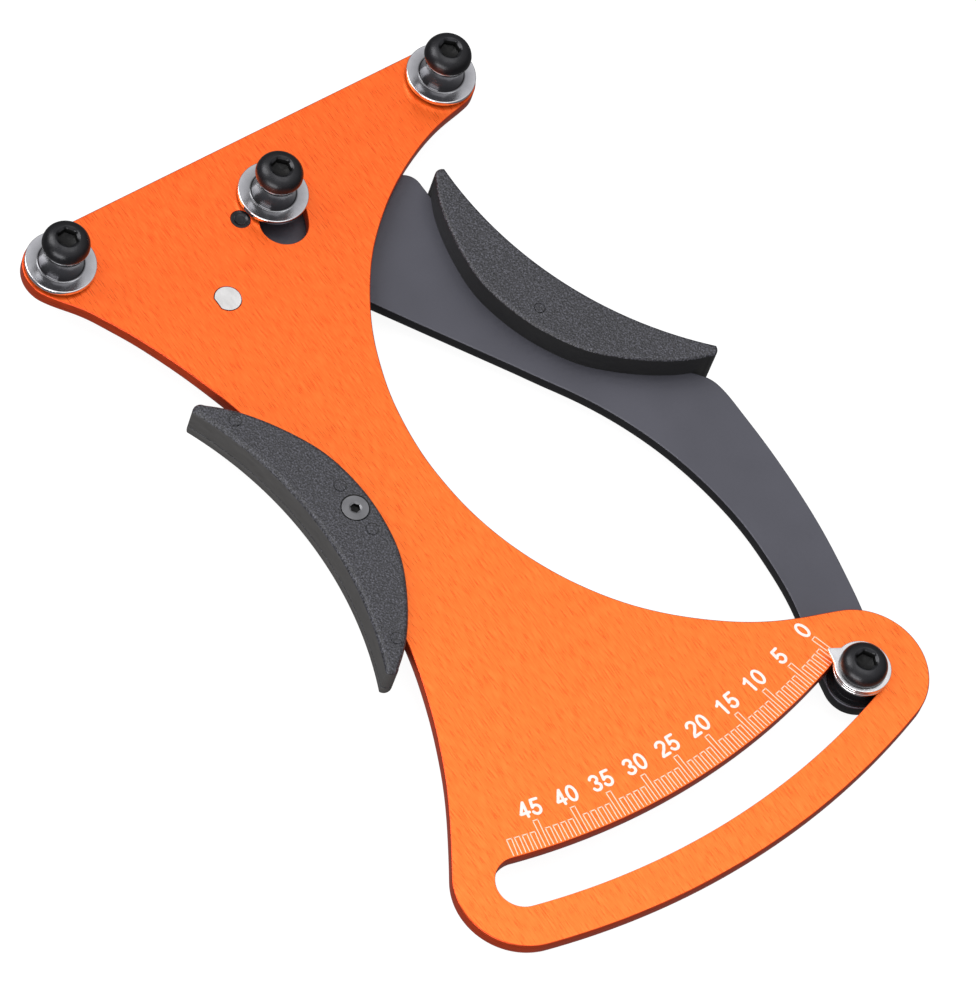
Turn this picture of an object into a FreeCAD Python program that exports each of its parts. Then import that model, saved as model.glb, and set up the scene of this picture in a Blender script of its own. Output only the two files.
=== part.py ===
import FreeCAD, Part
import math, os
from FreeCAD import Vector as V

os.makedirs("parts", exist_ok=True)

# ---- driving dimensions, mm, measured from the lever pivot on the plate's front face
ORIGIN = (8.794, -81.75, -10.2)         # where the row origin lies in the pivot's coordinates
PLATE_T = 3.2
TOP_Y = 17.0
POST_Y = 8.9
POST_MID_X = 9.3
POST_HALF = 50.75
LOBE_R = TOP_Y - POST_Y
MID_POST = (9.35, 1.5)
SLOT_RI = 160.0
SLOT_RO = 171.4
SLOT_A0 = -71.2
SLOT_A1 = -104.0
RIM_R = 180.5
LEVER_GAP = 0.4
LEVER_T = 3.0
POINTER_A = -71.43
TRAVEL = 32.4
PIVOT_R = 2.2
PIVOT_SHOULDER_R = 3.4
PIVOT_HEAD_R = 5.0
BUSH_R = 4.9
SHIM_R = 4.65
LOBE_PIVOT_R = 8.0
SPRING_POST = (-13.9, -15.2)
SPRING_PIN_R = 2.9
SPRING_R = 7.0
WIRE_R = 0.8
LEG_L = 30.0
COIL_TURNS = 2.0
COIL_PITCH = 1.9
LEG_A = -25.9                    # direction from the spring post to the leg's tip at rest
FLANGE_R = 7.8
FLANGE_Z0, FLANGE_Z1 = 0.8, 2.0
BARREL_R = 4.95
BARREL_WAIST = 4.45
BARREL_Z1 = 8.3
RING_T = 0.5
M6_R = 2.95
M6_HOLE = 3.1
HEAD_R = 5.25
HEAD_H = 3.3
HEX4 = 4.0
NUT6 = 10.0
GRIP_T_FRONT = 3.2
GRIP_FRAME_C = (-37.4, -72.2)
GRIP_LEVER_C = (58.6, -45.0)
GRIP_LEVER_ROT = 202.1
GRIP_LEVER_TOP = 2.8
GRIP_REAR_T = 3.6
GRIP_HOLE_X = 16.4

SLOT_RM = (SLOT_RI + SLOT_RO) / 2
SLOT_HW = (SLOT_RO - SLOT_RI) / 2
CORNER_R = RIM_R - SLOT_RM
LEV_Z1 = -PLATE_T - LEVER_GAP
LEV_Z0 = LEV_Z1 - LEVER_T
LP = (POST_MID_X - POST_HALF, POST_Y)
RP = (POST_MID_X + POST_HALF, POST_Y)
Z = V(0, 0, 1)


def pol(r, a, c=(0, 0)):
    t = math.radians(a)
    return (c[0] + r * math.cos(t), c[1] + r * math.sin(t))


def v(p, z=0.0):
    return V(p[0], p[1], z)


def arc(a, m, b):
    return Part.Arc(v(a), v(m), v(b)).toShape()


def arc_c(c, r, a0, a1):
    return arc(pol(r, a0, c), pol(r, (a0 + a1) / 2, c), pol(r, a1, c))


def line(a, b):
    return Part.LineSegment(v(a), v(b)).toShape()


def spline(pts, t0=None, t1=None):
    s = Part.BSplineCurve()
    if t0 is None:
        s.interpolate([v(p) for p in pts])
    else:
        s.interpolate(Points=[v(p) for p in pts], InitialTangent=V(t0[0], t0[1], 0),
                      FinalTangent=V(t1[0], t1[1], 0))
    return s.toShape()


def prism(edges, z0, z1):
    w = Part.Wire(Part.__sortEdges__(edges))
    f = Part.Face(w)
    if f.normalAt(0, 0).z < 0:
        f.reverse()
    s = f.extrude(V(0, 0, z1 - z0))
    s.translate(V(0, 0, z0))
    return s


def cyl(c, r, z0, z1):
    return Part.makeCylinder(r, z1 - z0, v(c, z0), Z)


def rev(c, pts):
    """turned piece about a vertical axis at c; pts are (r, z), or ('arc', (r,z), (r,z)) to bow through a mid point"""
    edges = []
    cur = pts[0]
    for p in pts[1:] + [pts[0]]:
        if p[0] == 'arc':
            m, e = p[1], p[2]
            edges.append(Part.Arc(V(cur[0], 0, cur[1]), V(m[0], 0, m[1]), V(e[0], 0, e[1])).toShape())
            cur = e
        else:
            if abs(p[0] - cur[0]) + abs(p[1] - cur[1]) > 1e-9:
                edges.append(Part.LineSegment(V(cur[0], 0, cur[1]), V(p[0], 0, p[1])).toShape())
            cur = p
    f = Part.Face(Part.Wire(edges))
    s = f.revolve(V(0, 0, 0), Z, 360)
    s = Part.makeSolid(s.Shells[0]) if s.ShapeType != "Solid" else s
    if s.Volume < 0:
        s.reverse()
    s.translate(v(c))
    return s


def hexa(c, af, z0, z1, rot=0.0):
    r = af / math.sqrt(3)
    pts = [v(pol(r, rot + 60 * k, c), z0) for k in range(7)]
    return Part.Face(Part.makePolygon(pts)).extrude(V(0, 0, z1 - z0))


def slot_arc(c, rm, hw, a0, a1, z0, z1):
    e = [arc_c(c, rm + hw, a0, a1), arc_c(c, rm - hw, a0, a1)]
    for a, s in ((a0, -1), (a1, 1)):
        k = pol(rm, a, c)
        e.append(arc(pol(rm - hw, a, c), pol(hw, a + 90 * s, k), pol(rm + hw, a, c)))
    return prism(e, z0, z1)


def button_screw(c, z0, z_end, rot):
    """button head with a hex socket, underside at z0, shank down to z_end"""
    h = rev(c, [(0, z0), (HEAD_R - 0.15, z0), (HEAD_R, z0 + 0.2), (HEAD_R, z0 + 0.6),
                ('arc', (4.45, z0 + 2.35), (2.75, z0 + HEAD_H)), (0, z0 + HEAD_H)])
    h = h.cut(hexa(c, HEX4, z0 + HEAD_H - 2.1, z0 + HEAD_H + 1, rot))
    s = rev(c, [(0, z_end), (M6_R - 0.5, z_end), (M6_R, z_end + 0.5), (M6_R, z0 + 0.1), (0, z0 + 0.1)])
    return h.fuse(s).removeSplitter()


def hex_nut(c, z0, z1, rot=0.0):
    n = hexa(c, NUT6, z0, z1, rot)
    r = NUT6 / math.sqrt(3)
    cone = rev(c, [(0, z0), (NUT6 / 2 - 0.1, z0), (r + 0.3, z0 + 0.85), (r + 0.3, z1), (0, z1)])
    return n.common(cone).cut(cyl(c, M6_R + 0.03, z0 - 1, z1 + 1))


def spool(c, seat_z, boss_r):
    p = [(M6_HOLE, seat_z), (boss_r, seat_z), (boss_r, FLANGE_Z0), (FLANGE_R - 0.2, FLANGE_Z0), (FLANGE_R, FLANGE_Z0 + 0.2),
         (FLANGE_R, FLANGE_Z1 - 0.15), (FLANGE_R - 0.15, FLANGE_Z1), (BARREL_R + 0.5, FLANGE_Z1),
         ('arc', (BARREL_R + 0.12, FLANGE_Z1 + 0.14), (BARREL_R - 0.02, FLANGE_Z1 + 0.5)),
         ('arc', (BARREL_WAIST, (FLANGE_Z1 + BARREL_Z1) / 2 + 0.25), (BARREL_R - 0.02, BARREL_Z1)),
         (M6_HOLE, BARREL_Z1)]
    return rev(c, p)


def ring(c, r0, r1, z0, z1):
    return cyl(c, r1, z0, z1).cut(cyl(c, r0, z0 - 1, z1 + 1))


# ---- face plate
RC = pol(SLOT_RM, SLOT_A0)
LC = pol(SLOT_RM, SLOT_A1)
a_rl, a_rc, a_lc, a_ll = -75.0, 70.0, 145.0, 210.0


def perp(a, s):
    t = math.radians(a)
    return (-s * math.sin(t), s * math.cos(t))


right_flank = [pol(LOBE_R, a_rl, RP), (55.0, -0.45), (44.8, -4.0), (33.85, -10.0), (25.95, -16.0), (19.75, -22.0), (15.0, -28.0),
               (11.0, -34.0), (7.85, -40.0), (5.4, -46.0), (3.45, -52.0), (2.15, -58.0), (1.3, -64.0), (0.95, -70.5),
               (1.15, -76.0), (1.75, -82.0), (2.9, -88.0), (4.6, -94.0), (6.9, -100.0), (9.8, -106.0), (13.45, -112.0),
               (17.95, -118.0), (23.7, -124.0), (31.0, -130.0), (40.2, -135.9), (48.5, -139.6), pol(CORNER_R, a_rc, RC)]
left_flank = [pol(CORNER_R, a_lc, LC), (-47.3, -145.0), (-43.5, -139.0), (-40.1, -133.0), (-37.15, -127.0), (-34.5, -121.0), (-32.2, -115.0),
              (-29.2, -105.5), (-26.7, -92.0), (-25.5, -74.0), (-26.1, -54.0), (-28.2, -38.5), (-29.85, -32.7), (-31.45, -27.7), (-33.25, -22.7),
              (-35.25, -17.7), (-37.5, -12.65), (-40.1, -7.6), (-42.95, -2.6), pol(LOBE_R, a_ll, LP)]
outline = [
    line((LP[0], TOP_Y), (RP[0], TOP_Y)),
    arc_c(RP, LOBE_R, 90, a_rl),
    spline(right_flank, perp(a_rl, -1), perp(a_rc, -1)),
    arc_c(RC, CORNER_R, a_rc, SLOT_A0),
    arc_c((0, 0), RIM_R, SLOT_A0, SLOT_A1),
    arc_c(LC, CORNER_R, SLOT_A1 + 360, a_lc),
    spline(left_flank, perp(a_lc, -1), perp(a_ll, -1)),
    arc_c(LP, LOBE_R, a_ll, 90),
]
blank = prism(outline, -PLATE_T, 0)
plate = blank.cut(slot_arc((0, 0), SLOT_RM, SLOT_HW, SLOT_A1, SLOT_A0, -PLATE_T - 1, 1))
rm = math.hypot(*MID_POST)
am = math.degrees(math.atan2(MID_POST[1], MID_POST[0]))
plate = plate.cut(slot_arc((0, 0), rm, 5.4, -34.3, am + 1.2, -PLATE_T - 1, 1))
for c in (LP, RP):
    plate = plate.cut(cyl(c, M6_HOLE, -PLATE_T - 1, 1))
plate = plate.cut(cyl((0, 0), PIVOT_R + 0.02, -PLATE_T - 1, 1))


def d_bar(r, z0, z1):
    b = cyl(SPRING_POST, r, z0, z1)
    k = Part.makeBox(4, 20, z1 - z0 + 2, V(SPRING_POST[0] - r * 0.88 - 4, SPRING_POST[1] - 10, z0 - 1))
    return b.cut(k)


plate = plate.cut(d_bar(SPRING_PIN_R + 0.05, -PLATE_T - 1, 1))
gs = (GRIP_FRAME_C[0] + GRIP_HOLE_X, GRIP_FRAME_C[1])
plate = plate.cut(cyl(gs, 1.8, -PLATE_T - 1, 1))


# ---- lever arm
PT = pol(SLOT_RM, POINTER_A)
K = (38.2, -9.7)
ML = 7.5
lev_out = [(42.2, -9.7), (42.3, -16.0), (42.9, -24.0), (44.3, -33.0), (46.7, -42.5), (50.4, -52.0), (55.3, -62.0), (61.0, -70.8), (65.6, -76.6), (68.6, -79.9)]
lev_out2 = [(70.7, -85.5), (70.85, -91.0), (70.85, -96.4), (70.55, -106.4), (69.75, -116.4), (68.4, -126.4), (66.4, -136.4), (63.6, -147.0), pol(6.8, -12, PT)]
lev_in = [pol(6.8, 168, PT), (48.2, -147.5), (50.7, -140.8), (52.3, -135.1), (53.9, -123.1), (54.2, -117.1), (53.4, -105.1), (51.0, -93.1), (46.8, -81.1), (40.5, -69.1), (36.6, -63.1), (32.8, -57.1)]
lev = [
    arc_c((0, 0), LOBE_PIVOT_R, 250, 96.1),
    line(pol(LOBE_PIVOT_R, 96.1), pol(ML, 96.1, MID_POST)),
    arc_c(MID_POST, ML, 96.1, 62.3),
    line(pol(ML, 62.3, MID_POST), pol(4.0, 62.3, K)),
    arc_c(K, 4.0, 62.3, 0),
    spline(lev_out, (0, -1), (0.66, -0.75)),
    arc((68.6, -79.9), (70.05, -82.3), (70.7, -85.5)),
    spline(lev_out2, (0.1, -1), perp(-12, -1)),
    arc_c(PT, 6.8, -12, -192),
    spline(lev_in, perp(168, -1), (-0.545, 0.838)),
    line((32.8, -57.1), (4.46, -13.52)),
    spline([(4.46, -13.52), (0.9, -9.3), pol(LOBE_PIVOT_R, 250)], (-0.545, 0.838), perp(250, -1)),
]
lever_blank = prism(lev, LEV_Z0, LEV_Z1)
lever = lever_blank.cut(cyl((0, 0), BUSH_R, LEV_Z0 - 1, LEV_Z1 + 1))
lever = lever.cut(cyl(MID_POST, M6_HOLE, LEV_Z0 - 1, LEV_Z1 + 1))
lever = lever.cut(cyl(PT, M6_HOLE, LEV_Z0 - 1, LEV_Z1 + 1))


# ---- crescent grips
def set_at(p, c, rot):
    q = pol(math.hypot(*p), math.degrees(math.atan2(p[1], p[0])) + rot, c)
    return q


def crescent(c, rot, z0, z1, stretch=1.0, shift=0.0):
    at = lambda p, c, rot: set_at((p[0], stretch * p[1] + shift), c, rot)
    half = [(2.6, 35.7), (5.6, 33.3), (10.5, 28.0), (15.5, 20.5), (18.6, 14.0), (20.25, 7.0)]
    pts = half + [(20.8, 0.0)] + [(x, -y) for x, y in reversed(half)]
    q = [at(p, c, rot) for p in pts]
    e = [spline(q),
         arc(at((2.6, 35.7), c, rot), at((0.9, 36.5), c, rot), at((-0.6, 35.4), c, rot)),
         arc(at((-0.6, 35.4), c, rot), at((7.2, 0), c, rot), at((-0.6, -35.4), c, rot)),
         arc(at((-0.6, -35.4), c, rot), at((0.9, -36.5), c, rot), at((2.6, -35.7), c, rot))]
    return prism(e, z0, z1)


fz1, fzp, fz0 = GRIP_T_FRONT, -PLATE_T, -PLATE_T - GRIP_REAR_T
gf = crescent(GRIP_FRAME_C, 0, fzp, fz1, 1.0125, 0.4).cut(blank)
gf = gf.cut(rev(gs, [(0, fz1 + 1), (3.05, fz1 + 1), (3.05, fz1 - 0.25), (1.6, fz1 - 1.7), (1.6, fzp - 1), (0, fzp - 1)]))
gr = crescent(GRIP_FRAME_C, 0, fz0, fzp, 1.0125, 0.4)
for s in (1, -1):
    pc = (GRIP_FRAME_C[0] + 6.1, GRIP_FRAME_C[1] + s * 30.0)
    gf = gf.fuse(cyl(pc, 1.5, fzp - 2.2, fzp))
    gr = gr.cut(cyl(pc, 1.55, fzp - 2.4, fzp + 1))
gf = gf.removeSplitter()
gr = gr.cut(cyl(gs, 2.4, fzp - 2.8, fzp + 1))
frame_insert = ring(gs, 1.52, 2.38, fzp - 2.8, fzp - 0.02)


def csk(c, top, bottom, up):
    s = 1 if up else -1
    p = [(0, top), (2.95, top), (2.95, top - s * 0.2), (1.5, top - s * 1.65), (1.5, bottom), (0, bottom)]
    b = rev(c, p)
    z = sorted((top + s * 0.5, top - s * 1.2))
    return b.cut(hexa(c, 2.0, z[0], z[1], 10))


frame_grip_screw = csk(gs, fz1, fzp - 2.6, True)

ls = set_at((GRIP_HOLE_X, 0.0), GRIP_LEVER_C, GRIP_LEVER_ROT)
lz1, lz0 = GRIP_LEVER_TOP, LEV_Z0 - GRIP_REAR_T
lf = crescent(GRIP_LEVER_C, GRIP_LEVER_ROT, LEV_Z0, lz1).cut(lever_blank)
lf = lf.cut(cyl(ls, 2.4, LEV_Z1 - 1, LEV_Z1 + 3.6)).cut(ring(ls, 1.15, 1.45, lz1 - 0.2, lz1 + 1))
lever_insert = ring(ls, 1.52, 2.38, LEV_Z1 + 0.02, LEV_Z1 + 3.4)
lr = crescent(GRIP_LEVER_C, GRIP_LEVER_ROT, lz0, LEV_Z0)
for s in (1, -1):
    pc = set_at((4.6, s * 30.0), GRIP_LEVER_C, GRIP_LEVER_ROT)
    lf = lf.fuse(cyl(pc, 1.3, LEV_Z0 - 2.2, LEV_Z0))
    lr = lr.cut(cyl(pc, 1.35, LEV_Z0 - 2.4, LEV_Z0 + 1))
lf = lf.removeSplitter()
lr = lr.cut(rev(ls, [(0, lz0 - 1), (3.05, lz0 - 1), (3.05, lz0 + 0.25), (1.6, lz0 + 1.7), (1.6, LEV_Z0 + 1), (0, LEV_Z0 + 1)]))
lever = lever.cut(cyl(ls, 1.8, LEV_Z0 - 1, LEV_Z1 + 1))
lever_grip_screw = csk(ls, lz0, LEV_Z1 + 3.2, False)

# ---- posts
parts = {}
NUT_H = 3.2
ring_z0, ring_z1 = BARREL_Z1, BARREL_Z1 + RING_T
REAR = -PLATE_T - NUT_H
for side, c, rot in (("left", LP, 8), ("right", RP, 22)):
    parts[side + "_post_spool"] = spool(c, 0.0, 5.6)
    parts[side + "_post_ring"] = ring(c, M6_R + 0.05, 5.0, ring_z0, ring_z1)
    parts[side + "_post_screw"] = button_screw(c, ring_z1, REAR, rot)
    parts[side + "_post_nut"] = hex_nut(c, REAR, -PLATE_T, rot)
THIN_NUT = 3.2
CLINCH_R = 4.25
CLINCH_H = 1.6
parts["middle_post_spool"] = spool(MID_POST, LEV_Z1, 4.7)
parts["middle_post_ring"] = ring(MID_POST, M6_R + 0.05, 5.0, ring_z0, ring_z1)
parts["middle_post_screw"] = button_screw(MID_POST, ring_z1, LEV_Z0 - CLINCH_H, 15)
parts["middle_post_nut"] = rev(MID_POST, [(M6_R + 0.03, LEV_Z0 - CLINCH_H), (CLINCH_R - 0.3, LEV_Z0 - CLINCH_H), (CLINCH_R, LEV_Z0 - CLINCH_H + 0.3),
                                         (CLINCH_R, LEV_Z0), (M6_R + 0.03, LEV_Z0)])

# ---- pointer set, rides on the lever through the slot
sp_z, thin = 0.45, 0.7
parts["pointer_spacer"] = ring(PT, M6_HOLE, 5.2, LEV_Z1, sp_z).fuse(ring(PT, M6_HOLE, 6.5, LEV_Z1, LEV_Z1 + 0.3)).removeSplitter()
parts["pointer_washers"] = Part.makeCompound([ring(PT, M6_HOLE, 6.15, sp_z, sp_z + thin), ring(PT, M6_HOLE, 6.15, sp_z + thin + 0.05, sp_z + 2 * thin + 0.05)])
pz0 = sp_z + 2 * (thin + 0.05)
pz1 = pz0 + thin
tip = (PT[0] - 4.02, PT[1] + 7.37)
tb = Part.Face(Part.makePolygon([v(tip, pz0), v(pol(6.2, 143, PT), pz0), v(PT, pz0), v(pol(6.2, 103, PT), pz0), v(tip, pz0)])).extrude(V(0, 0, pz1 - pz0))
parts["pointer_plate"] = cyl(PT, 6.2, pz0, pz1).fuse(tb).cut(cyl(PT, M6_HOLE, pz0 - 1, pz1 + 1)).removeSplitter()
parts["pointer_screw"] = button_screw(PT, pz1, LEV_Z0 - THIN_NUT, 5)
parts["pointer_nut"] = rev(PT, [(M6_R + 0.03, LEV_Z0 - THIN_NUT), (4.6, LEV_Z0 - THIN_NUT), (4.9, LEV_Z0 - THIN_NUT + 0.3), (4.9, LEV_Z0), (M6_R + 0.03, LEV_Z0)])

# ---- pivot
PIV_HEAD0, PIV_HEAD1 = LEV_Z0 - 2.8, LEV_Z0 - 0.4
parts["pivot_pin"] = rev((0, 0), [(0, PIV_HEAD0), (PIVOT_HEAD_R - 0.7, PIV_HEAD0), (PIVOT_HEAD_R, PIV_HEAD0 + 0.7), (PIVOT_HEAD_R, PIV_HEAD1), (PIVOT_SHOULDER_R, PIV_HEAD1),
                                  (PIVOT_SHOULDER_R, -PLATE_T), (PIVOT_R, -PLATE_T), (PIVOT_R, -0.15), (PIVOT_R - 0.2, 0.0), (1.6, 0.0),
                                  (1.2, -0.3), (0, -0.3)])
parts["pivot_bush"] = ring((0, 0), PIVOT_SHOULDER_R + 0.04, BUSH_R, LEV_Z0, LEV_Z1)
parts["pivot_front_shim"] = ring((0, 0), PIVOT_SHOULDER_R + 0.1, SHIM_R, -PLATE_T - LEVER_GAP + 0.02, -PLATE_T)
parts["pivot_rear_shim"] = ring((0, 0), PIVOT_SHOULDER_R + 0.1, SHIM_R, PIV_HEAD1, LEV_Z0 - 0.02)

# ---- spring post and return spring
PR = 4.9
post_z0 = -9.8
sp = d_bar(SPRING_PIN_R, -PLATE_T, 0.0).fuse(cyl(SPRING_POST, PR, post_z0, -PLATE_T)).removeSplitter()
leg_z = (LEV_Z0 + LEV_Z1) / 2
tang_z = leg_z - COIL_PITCH * COIL_TURNS
slot = Part.makeBox(2 * PR + 2, 2 * WIRE_R + 0.1, 6, V(-PR - 1, -WIRE_R - 0.05, 0))
slot.rotate(V(0, 0, 0), Z, LEG_A + 76.5 + 360 * COIL_TURNS)
slot.translate(v(SPRING_POST, tang_z + WIRE_R + 0.05 - 6))
parts["spring_post"] = sp.cut(slot)

a_tan = LEG_A + math.degrees(math.acos(SPRING_R / LEG_L))
start = pol(SPRING_R, a_tan - 0.5, SPRING_POST)
leg_tip = pol(LEG_L, LEG_A, SPRING_POST)
d = V(leg_tip[0] - start[0], leg_tip[1] - start[1], 0)
ll = d.Length
d.normalize()
leg = Part.makeCylinder(WIRE_R, ll, v(start, leg_z), d).fuse(Part.makeSphere(WIRE_R, v(leg_tip, leg_z))).removeSplitter()
parts["return_spring_leg"] = leg

hel = Part.makeHelix(COIL_PITCH, COIL_PITCH * COIL_TURNS, SPRING_R, 0, True)
pr = Part.Wire(Part.makeCircle(WIRE_R, V(SPRING_R, 0, 0), V(0, -2 * math.pi * SPRING_R, COIL_PITCH)))
coil = Part.Wire(hel.Edges).makePipeShell([pr], True, True)
coil = coil if coil.ShapeType == "Solid" else coil.Solids[0]
a_start = a_tan + COIL_TURNS * 360
coil.rotate(V(0, 0, 0), Z, a_start)
coil.translate(v(SPRING_POST, tang_z))
a0 = math.radians(a_start)
inner = pol(SPRING_R, a_start, SPRING_POST)
to_c = V(SPRING_POST[0] - inner[0], SPRING_POST[1] - inner[1], 0)
to_c.normalize()
tang = Part.makeCylinder(WIRE_R, SPRING_R + 3.2, v(inner, tang_z), to_c).fuse(Part.makeSphere(WIRE_R, v(inner, tang_z)))
parts["return_spring_coil"] = coil.fuse(tang).removeSplitter()

parts["face_plate"] = plate
parts["lever_arm"] = lever
parts["frame_grip_front"] = gf
parts["frame_grip_rear"] = gr
parts["frame_grip_screw"] = frame_grip_screw
parts["frame_grip_insert"] = frame_insert
parts["lever_grip_front"] = lf
parts["lever_grip_rear"] = lr
parts["lever_grip_screw"] = lever_grip_screw
parts["lever_grip_insert"] = lever_insert

bb = None
mass = 0
for name, s in sorted(parts.items()):
    s = s.copy()
    s.translate(V(-ORIGIN[0], -ORIGIN[1], -ORIGIN[2]))
    ok = s.isValid() and all(x.isClosed() for x in s.Shells)
    b = s.optimalBoundingBox(True, False)
    print("%-26s %s solids %d vol %9.2f  x %.2f..%.2f y %.2f..%.2f z %.2f..%.2f" % (name, "ok " if ok else "BAD", len(s.Solids), s.Volume, b.XMin, b.XMax, b.YMin, b.YMax, b.ZMin, b.ZMax))
    s.exportStep("parts/%s.step" % name)
    if bb is None:
        bb = FreeCAD.BoundBox(b)
    else:
        bb.add(b)
print("box", bb.XMin, bb.XMax, bb.YMin, bb.YMax, bb.ZMin, bb.ZMax, "centre", (bb.XMin + bb.XMax) / 2, (bb.YMin + bb.YMax) / 2)
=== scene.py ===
import math
import bmesh
import bpy
import numpy as np
from mathutils import Matrix, Vector


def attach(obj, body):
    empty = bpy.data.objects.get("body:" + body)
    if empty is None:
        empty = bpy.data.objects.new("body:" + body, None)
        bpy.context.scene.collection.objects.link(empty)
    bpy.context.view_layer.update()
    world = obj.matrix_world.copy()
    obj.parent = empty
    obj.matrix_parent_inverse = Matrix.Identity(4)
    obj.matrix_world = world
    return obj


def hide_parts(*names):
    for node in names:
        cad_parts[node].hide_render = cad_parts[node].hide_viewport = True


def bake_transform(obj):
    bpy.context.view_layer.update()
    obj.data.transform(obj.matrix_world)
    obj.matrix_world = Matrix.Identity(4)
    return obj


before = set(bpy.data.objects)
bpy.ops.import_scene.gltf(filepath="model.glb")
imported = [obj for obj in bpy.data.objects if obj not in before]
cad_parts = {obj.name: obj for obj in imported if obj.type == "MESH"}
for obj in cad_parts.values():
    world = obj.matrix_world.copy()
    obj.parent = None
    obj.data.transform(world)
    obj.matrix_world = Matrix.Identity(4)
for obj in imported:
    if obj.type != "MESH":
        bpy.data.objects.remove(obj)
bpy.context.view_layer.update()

# All shape numbers are millimetres from the lever pivot on the plate's front face, as in the CAD.
ORIGIN = (8.794, -81.75, -10.2)
PI = math.pi


def P(x, y, z):
    return ((x - ORIGIN[0]) / 1000, (y - ORIGIN[1]) / 1000, (z - ORIGIN[2]) / 1000)


def pol(r, a, c=(0.0, 0.0)):
    t = math.radians(a)
    return (c[0] + r * math.cos(t), c[1] + r * math.sin(t))


PLATE_T = 3.2
TOP_Y = 17.0
LP, RP, MP = (-41.45, 8.9), (60.05, 8.9), (9.35, 1.5)
LOBE_R = 8.1
SLOT_RI, SLOT_RO = 160.0, 171.4
SLOT_RM, SLOT_HW = 165.7, 5.7
SLOT_A0, SLOT_A1 = -71.2, -104.0
RIM_R, CORNER_R = 180.5, 14.8
LEV_Z1, LEV_Z0 = -3.6, -6.6
PT = pol(SLOT_RM, -71.43)
SPRING_POST = (-13.9, -15.2)
GF_C, GL_C, GL_ROT = (-37.4, -72.2), (58.6, -45.0), 202.1

# ------------------------------------------------------------------ outlines


def arc_pts(c, r, a0, a1, step=0.45):
    n = max(3, int(abs(math.radians(a1 - a0)) * r / step) + 1)
    return [pol(r, a0 + (a1 - a0) * k / n, c) for k in range(n + 1)]


def spl(pts, t0=None, t1=None, step=0.45):
    """smooth cubic through pts, chord-length knots, with end directions where given"""
    p = np.array(pts, float)
    h = np.hypot(*(p[1:] - p[:-1]).T)
    n = len(p)
    a = np.zeros((n, n))
    b = np.zeros((n, 2))
    for k in range(1, n - 1):
        a[k, k - 1], a[k, k], a[k, k + 1] = h[k], 2 * (h[k - 1] + h[k]), h[k - 1]
        b[k] = 3 * (h[k] * (p[k] - p[k - 1]) / h[k - 1] + h[k - 1] * (p[k + 1] - p[k]) / h[k])
    if t0 is None:
        a[0, 0], a[0, 1], b[0] = 2, 1, 3 * (p[1] - p[0]) / h[0]
        a[-1, -1], a[-1, -2], b[-1] = 2, 1, 3 * (p[-1] - p[-2]) / h[-1]
    else:
        a[0, 0] = a[-1, -1] = 1
        b[0], b[-1] = np.array(t0) / np.hypot(*t0), np.array(t1) / np.hypot(*t1)
    m = np.linalg.solve(a, b)
    out = []
    for k in range(n - 1):
        c = max(2, int(h[k] / step))
        for j in range(c):
            s = j / c
            out.append(tuple((2 * s**3 - 3 * s**2 + 1) * p[k] + (s**3 - 2 * s**2 + s) * h[k] * m[k]
                             + (-2 * s**3 + 3 * s**2) * p[k + 1] + (s**3 - s**2) * h[k] * m[k + 1]))
    return out + [tuple(p[-1])]


def perp(a, s):
    t = math.radians(a)
    return (-s * math.sin(t), s * math.cos(t))


def join(*runs):
    out = []
    for r in runs:
        for q in r:
            if not out or math.hypot(q[0] - out[-1][0], q[1] - out[-1][1]) > 0.03:
                out.append(q)
    if math.hypot(out[0][0] - out[-1][0], out[0][1] - out[-1][1]) < 0.03:
        out.pop()
    q = np.array(out)
    area = np.sum(q[:, 0] * np.roll(q[:, 1], -1) - np.roll(q[:, 0], -1) * q[:, 1])
    return q if area > 0 else q[::-1].copy()


def circle(c, r, n=72):
    return np.array([pol(r, 360 * k / n, c) for k in range(n)])


def slot_loop(c, rm, hw, a0, a1):
    """a0 > a1"""
    k0, k1 = pol(rm, a0, c), pol(rm, a1, c)
    return join(arc_pts(c, rm + hw, a1, a0), arc_pts(k0, hw, a0, a0 + 180), arc_pts(c, rm - hw, a0, a1), arc_pts(k1, hw, a1 + 180, a1 + 360))


RC, LC = pol(SLOT_RM, SLOT_A0), pol(SLOT_RM, SLOT_A1)
a_rl, a_rc, a_lc, a_ll = -75.0, 70.0, 145.0, 210.0
right_flank = [pol(LOBE_R, a_rl, RP), (55.0, -0.45), (44.8, -4.0), (33.85, -10.0), (25.95, -16.0), (19.75, -22.0), (15.0, -28.0),
               (11.0, -34.0), (7.85, -40.0), (5.4, -46.0), (3.45, -52.0), (2.15, -58.0), (1.3, -64.0), (0.95, -70.5),
               (1.15, -76.0), (1.75, -82.0), (2.9, -88.0), (4.6, -94.0), (6.9, -100.0), (9.8, -106.0), (13.45, -112.0),
               (17.95, -118.0), (23.7, -124.0), (31.0, -130.0), (40.2, -135.9), (48.5, -139.6), pol(CORNER_R, a_rc, RC)]
left_flank = [pol(CORNER_R, a_lc, LC), (-47.3, -145.0), (-43.5, -139.0), (-40.1, -133.0), (-37.15, -127.0), (-34.5, -121.0), (-32.2, -115.0),
              (-29.2, -105.5), (-26.7, -92.0), (-25.5, -74.0), (-26.1, -54.0), (-28.2, -38.5), (-29.85, -32.7), (-31.45, -27.7), (-33.25, -22.7),
              (-35.25, -17.7), (-37.5, -12.65), (-40.1, -7.6), (-42.95, -2.6), pol(LOBE_R, a_ll, LP)]
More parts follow.
